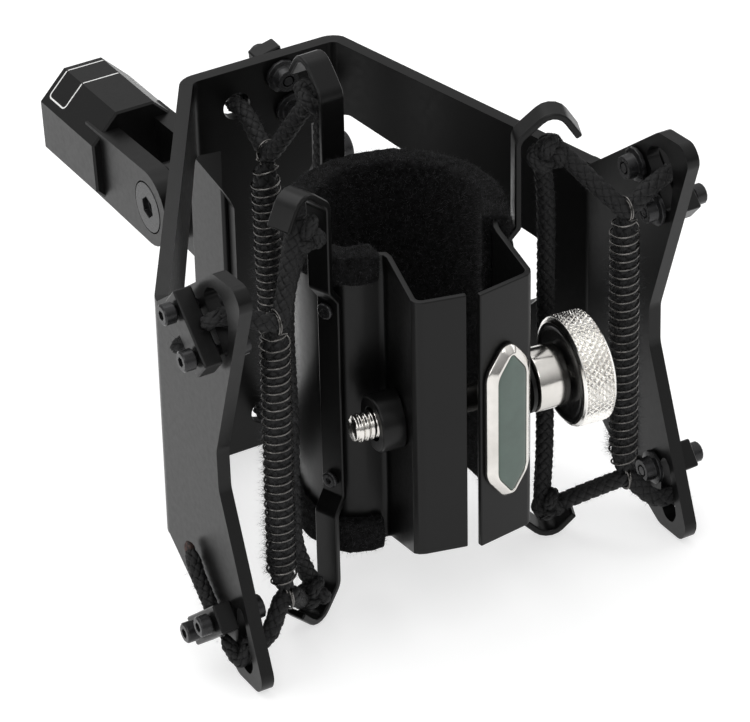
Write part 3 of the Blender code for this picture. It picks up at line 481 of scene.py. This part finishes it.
def wound(tag, top, bottom, top_eye, low_eye, hook_plane, blend, turns=25):
    """Spring wire round a braided core, with an open loop over the cord at each end."""
    top, bottom = np.array(top, float), np.array(bottom, float)
    top_eye, low_eye = np.array(top_eye, float), np.array(low_eye, float)
    ax = unit(bottom - top)
    x = unit(np.cross(ax, (0, 1, 0.05)))
    y = np.cross(ax, x)
    hp = unit(np.array(hook_plane, float))
    bag = Bag()
    R = 3.07
    n = turns * 26
    s = np.linspace(0, 1, n)
    ph = 2 * math.pi * turns * s
    wob = 1 + 0.012 * np.sin(ph * 0.37) + 0.010 * np.sin(ph * 0.11 + 1)
    p = top + (bottom - top) * s[:, None] + R * wob[:, None] * (x * np.cos(ph)[:, None] + y * np.sin(ph)[:, None])
    # the ends climb out of the body and close over the cord
    ends = []
    for eye, end, sg in ((top_eye, top, -1), (low_eye, bottom, 1)):
        out = unit(eye - end)
        u = hp
        w = out
        q = []
        for k in range(30):
            a = -2.3 + k / 29 * 6.4
            q.append(eye + 2.75 * (u * math.sin(a) * 0.85 + w * math.cos(a)) + np.cross(u, w) * (0.5 * (k / 29 - 0.5) * 2))
        ends.append(q)
    head = [tuple(v) for v in ends[0]]
    # from the loop's end down into the first turn, unwinding
    k = np.linspace(0, 1, 26)
    first = p[0]
    turn = []
    for t in k[1:-1]:
        a = -2 * math.pi * 0.9 * (1 - t)
        c = top + (top_eye - top) * (1 - t) * 0.62
        rr = R * (0.80 + 0.20 * t)
        turn.append(tuple(c + rr * (x * math.cos(a) + y * math.sin(a))))
    tail_turn = []
    for t in k[1:-1]:
        a = ph[-1] + 2 * math.pi * 0.9 * t
        c = bottom + (low_eye - bottom) * t * 0.62
        rr = R * (1 - 0.20 * t)
        tail_turn.append(tuple(c + rr * (x * math.cos(a) + y * math.sin(a))))
    route = np.vstack([np.array(head)[::-1][:-1], np.array(turn), p, np.array(tail_turn), np.array(ends[1])[1:]])
    q, _ = even(catmull(route[::1], 3), 0.42)
    bag.tube(q, 0.215, 7)
    wide = np.array((1.0, 0, 0)) if tag == "rear" else np.array((0, 1.0, 0))
    for eye, way in ((top_eye, 1), (low_eye, -1)):
        a = np.linspace(0, 2 * math.pi, 41)[:, None]
        bag.tube(np.array(eye, float) + np.array((0, 0, 0.7 * way)) + 2.6 * (wide * np.cos(a) + np.array((0, 0, 1.0)) * np.sin(a)), 0.215, 7)
    o = bag.make("spring_wire_" + tag, spring, blend=blend)
    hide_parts("coil_spring_" + tag)
    core = Bag()
    mid = [top + (top_eye - top) * 0.72, top + (bottom - top) * 0.02, top + (bottom - top) * 0.25 + x * 0.12, top + (bottom - top) * 0.5 - y * 0.1,
           top + (bottom - top) * 0.75 + y * 0.1, top + (bottom - top) * 0.98, bottom + (low_eye - bottom) * 0.72]
    braid(core, mid, r=2.98, carriers=6, pitch=17.0, step=0.36, taper=[(0, 0.62), (0.05, 0.9), (0.1, 1), (0.9, 1), (0.95, 0.9), (1, 0.6)])
    core.make("spring_core_" + tag, braid_mat, blend=blend)
    hair = Bag()
    m = 4600
    t = rand.random(m) ** 0.6
    a = rand.random(m) * 2 * math.pi
    d = x * np.cos(a)[:, None] + y * np.sin(a)[:, None]
    fibres(hair, top + (bottom - top) * t[:, None] + d * 2.8, d, 2.1, 0.02, rand, lean=1.6)
    hair.make("spring_lint_" + tag, fuzz_mat, blend=blend)


def lint(bag, route, r, per_mm, length):
    p, s = even(catmull(route), 0.4)
    t, n, b = carried(p)
    m = int(s[-1] * per_mm * (1))
    i = rand.integers(0, len(p), m)
    a = rand.random(m) * 2 * math.pi
    d = n[i] * np.cos(a)[:, None] + b[i] * np.sin(a)[:, None]
    fibres(bag, p[i] + d * r, d, length, 0.02, rand, lean=1.8)


def knot(bag, centre, axis, size=2.35, r=1.25, turn=0.0):
    """A tight overhand knot of braided cord."""
    a = np.linspace(0, 2 * math.pi, 90, endpoint=False) + turn
    z = unit(np.array(axis, float))
    x = unit(np.cross(z, (0.3, 0.5, 0.81)))
    y = np.cross(z, x)
    k = size / 3
    p = np.array(centre, float) + k * (x * (np.sin(a) + 2 * np.sin(2 * a))[:, None] + y * (np.cos(a) - 2 * np.cos(2 * a))[:, None] * 1.0 - z * (1.35 * np.sin(3 * a))[:, None])
    closed = np.vstack([p, p[:1]])
    braid(bag, closed[::6], r=r, carriers=5, pitch=9.5, step=0.3)


def sling(tag, route, spring_args, body_blend, knots, tails):
    bag = Bag()
    braid(bag, route)
    for c, ax, size, r, turn in knots:
        knot(bag, c, ax, size, r, turn)
    o = bag.make("braided_cord_" + tag, braid_mat, blend=body_blend)
    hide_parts("sling_cord_" + tag)
    hair = Bag()
    lint(hair, route, 1.95, 11, 1.0)
    hair.make("cord_lint_" + tag, fuzz_mat, blend=body_blend)
    wound(tag, *spring_args, body_blend, turns=25 if tag == "rear" else 28)
    tb, tip = Bag(), Bag()
    for pts, burn in tails:
        braid(tb, pts, r=1.75, taper=[(0, 1), (0.8, 1), (1, 0.55)])
        if burn:
            e = np.array(pts[-1], float)
            d = unit(e - np.array(pts[-2], float))
            p = [e - d * 0.6, e, e + d * 0.9, e + d * 1.5]
            tip.tube(np.array(p), [1.15, 1.2, 0.85, 0.25], 9)
        lint(tb, pts, 1.8, 4, 1.3)
    tb.make("cord_tails_" + tag, braid_mat, body="frame")
    if tip.n:
        tip.make("cord_burnt_tip_" + tag, burnt, body="frame")


for s, tag, deg in ((1, "right", -21.0), (-1, "left", 204.0)):
    a = math.radians(deg)
    rad = np.array((math.cos(a), math.sin(a), 0))
    near = np.array((-math.sin(a), math.cos(a), 0)) * (-1 if s == 1 else 1)

    def at(r, z, side=0.0, c=np.array((CX, CY, 0)), d=rad, n=near):
        return c + d * r + n * side + np.array((0, 0, z))

    run_r = 32.8 if s == 1 else 34.6
    run_t = np.array((0.9, 2.4, 0)) if s == 1 else np.array((-1.0, 2.2, 0))
    te, le = np.array((41.9 * s, -16.4, 33.0)), np.array((42.0 * s, -17.0, -35.4))
    hole, slot = np.array((52.8 * s, -14.6, 38.0)), np.array((52.8 * s, -20.6, -42.5))
    V = lambda *c: np.array(c, float)
    route = [hole + V(0.8 * s, 0, 0), hole + V(-4.5 * s, -0.8, -1.6), te + V(1.2 * s, 0, 0.9), te + V(-1.4 * s, 0.4, 1.4),
             at(35.4, 46.2, 0.6), at(33.0, 48.6), at(31.4, 45.0), at(run_r, 30) + run_t, at(run_r, 0) + run_t, at(run_r, -30) + run_t,
             at(31.9, -43.8), at(33.4, -47.4), at(36.2, -45.3), le + V(-1.4 * s, 0.4, -1.0), le + V(1.2 * s, 0, -1.2), slot + V(-4.5 * s, 0.6, 0.6), slot + V(0.8 * s, 0, 0)]
    knots = [(at(32.2, 46.6, 1.7), near + rad * 0.3, 3.1, 1.6, 0.4), (at(33.1, -44.8, 1.4), near + rad * 0.5, 2.8, 1.45, 1.3)]
    x = 56.0 * s
    tails = [([V(53.0 * s, -14.6, 38.0), V(54.8 * s, -14.0, 37.4), V(56.0 * s, -12.2, 35.4)], False),
             ([V(56.2 * s, -8.4, 31.6), V(57.4 * s, -7.0, 29.2), V(59.2 * s, -6.3, 28.0), V(60.3 * s, -5.9, 27.2)], False),
             ([V(53.0 * s, -20.8, -42.6), V(55.2 * s, -20.4, -45.6), V(55.9 * s, -17.6, -44.2), V(56.2 * s, -15.2, -42.4)], False),
             ([V(56.2 * s, -9.4, -38.4), V(56.2 * s, -7.2, -36.6), V(56.3 * s, -3.9, -33.6), V(56.2 * s, -1.6, -30.6), V(56.1 * s, 0.2, -28.9)], True)]
    sling(tag, route, ((41.9 * s, -15.7, 28.6), (42.5 * s, -16.0, -29.8), te, le, (0, 1, 0)),
          ("frame", "cradle", W((52.0 * s, -16, 0)), W((35.5 * s, -9, 0))), knots, tails)


def back(r, z, side=0.0):
    return np.array((CX + side, CY + r, z), float)


te, le = np.array((-6.7, 53.6, 25.6)), np.array((-6.6, 53.4, -37.0))
hole, slot = np.array((-7.0, 68.3, 30.6)), np.array((-3.2, 68.3, -53.0))
V = lambda *c: np.array(c, float)
route = [hole + V(0, 0.8, 0), hole + V(0, -5, 0.2), te + V(-0.3, 1.4, 1.0), te + V(0.4, -1.6, 1.4), back(35.4, 45.2), back(33, 47.8), back(31.4, 44.4),
         back(32, 28), back(32, 0), back(32, -30), back(31.8, -44), back(33.3, -48), back(36, -45.2), le + V(0.4, -1.6, -1.0), le + V(0, 1.6, -1.2),
         slot + V(0, -5.5, 0.2), slot + V(0, 0.8, 0)]
knots = [(back(32.6, 46.4, -2.4), (-1, 0.3, 0.1), 3.2, 1.7, 0.2), (back(33.0, -45.4, -1.4), (-1, 0.4, 0), 2.8, 1.5, 1.1)]
tails = [([V(-7.0, 68.4, 30.6), V(-5.6, 71.0, 30.4), V(-3.2, 72.0, 30.2)], False), ([V(-3.2, 68.4, -53.0), V(-2.4, 71.0, -53.0), V(-0.6, 72.0, -53.0)], False)]
sling("rear", route, ((-7.8, 53.2, 19.4), (-7.0, 53.2, -31.8), te, le, (1, 0, 0)),
      ("frame", "cradle", W((0, 66.5, 0)), W((0, 41.5, 0))), knots, tails)


# ---- thumb screw -------------------------------------------------------------------------------------------
TH = Matrix.Translation((0, -16.9, -0.5)) @ Matrix.Rotation(math.radians(-5), 4, "Z")
TH_R, TH_T = np.array(TH.to_3x3()), np.array(TH.translation)


def on_thumb(v):
    """(along, across, up) of the thumb screw to the mount's frame; along is measured on the screw's axis."""
    return np.asarray(v, float) @ TH_R.T + TH_T


def turned_rings(stations, sides, ripple=None):
    ang = np.linspace(0, 2 * math.pi, sides, endpoint=False)
    out = []
    for i, (x, r) in enumerate(stations):
        rr = r if ripple is None else ripple(x, r, ang)
        out.append(np.stack([np.full(sides, x), rr * np.cos(ang), rr * np.sin(ang)], 1))
    return on_thumb(np.array(out))


THREAD_R, THREAD_PITCH = 3.05, 1.27


def thread(bag, x0, x1, r=THREAD_R, pitch=THREAD_PITCH, deep=0.42):
    """A helical ridge on a rod from x0 to x1."""
    sides, per = 40, 10
    n = int((x1 - x0) / pitch * per)
    ang = np.linspace(0, 2 * math.pi, sides, endpoint=False)
    xs = np.linspace(x0, x1, n)
    ph = (xs[:, None] / pitch + ang[None] / (2 * math.pi)) % 1.0
    tri = np.abs(ph * 2 - 1)
    rr = r - deep * np.clip((tri - 0.12) / 0.76, 0, 1)
    fade = np.clip((xs - x0) / 0.9, 0, 1)[:, None]
    rr = rr * (0.80 + 0.20 * fade)
    ring = np.stack([np.broadcast_to(xs[:, None], rr.shape), rr * np.cos(ang), rr * np.sin(ang)], 2)
    bag.rings(on_thumb(ring))


screw_bag = Bag()
THUMB_R = 3.15
END = 18.27
thread(screw_bag, END - 42.6, END - 29.0, r=THUMB_R)
screw_bag.rings(turned_rings([(END - 29.2, 2.6), (END - 29.0, 3.05), (END - 28.6, 3.1), (END - 1.95, 3.1)], 48))
screw_bag.rings(turned_rings([(END - 1.93, 3.0), (END - 1.94, 6.0), (END - 1.85, 6.55), (END - 1.55, 6.85), (END - 1.3, 6.9), (END + 5.0, 6.9), (END + 5.3, 6.8), (END + 5.55, 6.4), (END + 5.6, 5.4), (END + 5.62, 4.0),
                              (END + 9.0, 4.0), (END + 12.7, 4.0), (END + 13.2, 3.6)], 64))
o = screw_bag.make("thumb_screw_threaded", nickel, body="thumb")
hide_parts("thumb_screw")

KNURLS, KNURL_X = 46, 1.7


def knurl(x, r, ang):
    """Diamond knurling round the rim, running out at both edges."""
    if r < 12.2:
        return np.full(len(ang), r)
    a = (ang * KNURLS / (2 * math.pi) + x / KNURL_X) % 1.0
    b = (ang * KNURLS / (2 * math.pi) - x / KNURL_X) % 1.0
    cut = np.maximum(np.abs(2 * a - 1), np.abs(2 * b - 1))
    return r - 0.62 * np.clip((cut - 0.28) / 0.72, 0, 1)


D0 = END + 5.9
rim = [(D0 + 0.9 + 0.11 * k, 12.28) for k in range(57)]
stations = [(D0 + 0.25, 4.4), (D0 + 0.25, 9.4), (D0 + 0.15, 9.9), (D0, 10.3), (D0 + 0.02, 11.0), (D0 + 0.2, 11.5), (D0 + 0.55, 11.95), (D0 + 0.75, 12.1)] + rim + \
    [(D0 + 7.25, 12.1), (D0 + 7.55, 11.8), (D0 + 7.9, 11.3), (D0 + 8.0, 10.7), (D0 + 7.9, 9.6), (D0 + 7.4, 8.9), (D0 + 7.2, 6.0), (D0 + 7.2, 4.4)]
disc_bag = Bag()
disc_bag.rings(turned_rings(stations, KNURLS * 8, knurl), caps=False, closed=True)
o = disc_bag.make("thumb_disc_knurled", knurled, body="thumb", smooth=False)
# The disc's near face (its first four rings) takes the darker nickel copy: painted shade on that side of the disc.
o.data.materials.append(shade_painted_nickel.m)
per = KNURLS * 8
index = np.zeros(len(o.data.polygons), int)
index[:per * 4] = 1
o.data.polygons.foreach_set("material_index", index)
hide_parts("thumb_disc")


# ---- badge -------------------------------------------------------------------------------------------------
fa, fb = np.array((-2.1, -29.8)), np.array((9.9, -28.2))
run = (fb - fa) / np.linalg.norm(fb - fa)
fn = np.array((run[1], -run[0]))
mid = (fa + fb) / 2 + fn * (1.3 / 2 + 0.3) + run * 0.3


def on_badge(x, y, z):
    """Across, up and out from the badge's middle."""
    return np.array((mid[0] + run[0] * x + fn[0] * z, mid[1] + run[1] * x + fn[1] * z, 1.2 + y))


def badge_outline(inset):
    """The six-sided outline with rounded corners, drawn in by inset."""
    pts = [(-5.65, -13.2), (0, -21.0), (5.65, -13.2), (5.65, 13.2), (0, 21.0), (-5.65, 13.2)]
    radii = [6.5, 2.6, 6.5, 6.5, 2.6, 6.5]
    n = len(pts)
    ins = []
    for i in range(n):
        p0, p1, p2 = (np.array(pts[(i + k) % n], float) for k in (-1, 0, 1))
        d1, d2 = (p1 - p0) / np.linalg.norm(p1 - p0), (p2 - p1) / np.linalg.norm(p2 - p1)
        n1, n2 = np.array((-d1[1], d1[0])), np.array((-d2[1], d2[0]))
        b = (n1 + n2) / np.linalg.norm(n1 + n2)
        ins.append(p1 + b * inset / max(0.2, b @ n1))
    out = []
    for i in range(n):
        p0, p1, p2 = ins[i - 1], ins[i], ins[(i + 1) % n]
        r = max(0.3, radii[i] - inset)
        d1, d2 = (p0 - p1) / np.linalg.norm(p0 - p1), (p2 - p1) / np.linalg.norm(p2 - p1)
        half = math.acos(max(-1, min(1, float(d1 @ d2)))) / 2
        t = r / math.tan(half)
        a, b = p1 + d1 * t, p1 + d2 * t
        c = p1 + (d1 + d2) / np.linalg.norm(d1 + d2) * (r / math.sin(half))
        a0, a1 = math.atan2(*(a - c)[::-1]), math.atan2(*(b - c)[::-1])
        da = (a1 - a0 + math.pi) % (2 * math.pi) - math.pi
        for k in range(7):
            q = a0 + da * k / 6
            out.append(c + r * np.array((math.cos(q), math.sin(q))))
    return out


frame_bag = Bag()
levels = [(0.0, 0.0), (0.0, 0.75), (0.06, 0.95), (0.25, 1.2), (1.25, 2.18), (1.45, 2.34), (1.65, 2.40), (1.85, 2.34), (1.95, 2.15), (1.98, 0.2)]
frame_bag.rings(np.array([[on_badge(x, y, z) for x, y in badge_outline(i)] for i, z in levels]), caps=False, closed=True)
o = frame_bag.make("badge_bezel_polished", nickel, body="jaw")
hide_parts("badge_bezel")
en = Bag()
levels = [(2.0, 0.4), (2.0, 2.12), (2.15, 2.2), (2.7, 2.24), (3.4, 2.27), (4.2, 2.28)]
en.rings(np.array([[on_badge(x, y, z) for x, y in badge_outline(i)] for i, z in levels]), caps=True)
o = en.make("badge_enamel_fill", enamel, body="jaw")
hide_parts("badge_enamel")

# ---- printed outline round the adapter's label -----------------------------------------------------------------
PIVOT = np.array((0, 110.4, -18.4))
TILT = np.array(Matrix.Rotation(math.radians(-4.5), 3, "X"))


def on_adapter(u, y, lift=0.04):
    """u runs across the left chamfer, the top and the right chamfer; y is measured from the pivot."""
    c = 7 * math.sqrt(2)
    if u < c:
        p = np.array((-12 + u / math.sqrt(2), 0, 6.2 + u / math.sqrt(2)))
        n = np.array((-1, 0, 1)) / math.sqrt(2)
    elif u < c + 10:
        p, n = np.array((-5 + u - c, 0, 13.2)), np.array((0, 0, 1.0))
    else:
        w = (u - c - 10) / math.sqrt(2)
        p, n = np.array((5 + w, 0, 13.2 - w)), np.array((1, 0, 1)) / math.sqrt(2)
    p = p + n * lift
    p[1] = y
    return PIVOT + TILT @ p


def label_outline(inset):
    x0, x1, y0, y1, r = 2.05 + inset, 27.75 - inset, 42.7 + inset, 51.5 - inset, 1.3 - inset
    out = []
    for cx, cy, a0 in ((x1 - r, y1 - r, 0), (x0 + r, y1 - r, 90), (x0 + r, y0 + r, 180), (x1 - r, y0 + r, 270)):
        for k in range(7):
            a = math.radians(a0 + 15 * k)
            out.append((cx + r * math.cos(a), cy + r * math.sin(a)))
    res = []
    for i in range(len(out)):
        a, b = np.array(out[i]), np.array(out[(i + 1) % len(out)])
        m = 40 if i % 7 == 6 else 1
        res += [a + (b - a) * k / m for k in range(m)]
    return res


lab = Bag()
lab.rings(np.array([[on_adapter(x, y) for x, y in label_outline(i)] for i in (0.0, 0.42)]), caps=False)
lab.make("label_outline", white, body="stand")

# ---- lights ------------------------------------------------------------------------------------------------
lights = []


def area(name, loc, target, size, power, size_y=None, colour=(1, 1, 1)):
    l = bpy.data.lights.new(name, "AREA")
    l.energy = power
    l.color = colour
    l.size = size
    if size_y:
        l.shape = "RECTANGLE"
        l.size_y = size_y
    o = bpy.data.objects.new(name, l)
    bpy.context.scene.collection.objects.link(o)
    o.location = loc
    o.rotation_euler = (Vector(target) - Vector(loc)).to_track_quat("-Z", "Y").to_euler()
    return o


area("key_top", (-0.15, 0.25, 1.1), (0, -0.01, 0.05), 1.0, 5.0, 1.0)
area("front_top", (-0.45, -0.85, 0.85), (0, -0.03, 0.05), 0.45, 1.7, 0.45)
area("fill_right", (1.0, -0.2, 0.5), (0, -0.02, 0.05), 0.5, 1.2, 0.6)
area("fill_left", (-1.1, -0.15, 0.42), (0, 0.0, 0.05), 0.35, 1.5, 0.5)

world = bpy.data.worlds.new("studio")
bpy.context.scene.world = world
world.use_nodes = True
wt = world.node_tree
coord = wt.nodes.new("ShaderNodeTexCoord")
split = wt.nodes.new("ShaderNodeSeparateXYZ")
ramp = wt.nodes.new("ShaderNodeValToRGB")
for element, (pos, v) in zip([ramp.color_ramp.elements[0], ramp.color_ramp.elements[1]], ((0.05, 0.22), (0.75, 1.15))):
    element.position = pos
    element.color = (v, v, v, 1)
wt.links.new(coord.outputs["Generated"], split.inputs[0])
wt.links.new(split.outputs["Z"], ramp.inputs["Fac"])
wt.links.new(ramp.outputs["Color"], wt.nodes["Background"].inputs["Color"])
wt.nodes["Background"].inputs["Strength"].default_value = 0.8

floor_mat = Mat("studio_floor", (0.48, 0.48, 0.48), 0.6)
floor_mat.set("Emission Color", (1, 1, 1, 1))
floor_mat.set("Emission Strength", 0.64)
floor_mat.set("Specular IOR Level", 0.1)
floor_mat.ramp(floor_mat.noise(3, 2), [(0.3, (0.475, 0.475, 0.475)), (0.7, (0.485, 0.485, 0.485))], "Base Color")
bm = bmesh.new()
bmesh.ops.create_grid(bm, x_segments=2, y_segments=2, size=4.0)
me = bpy.data.meshes.new("floor")
bm.to_mesh(me)
bm.free()
floor = link("floor", me, floor_mat)
floor.location = (0, 0, -0.0004)
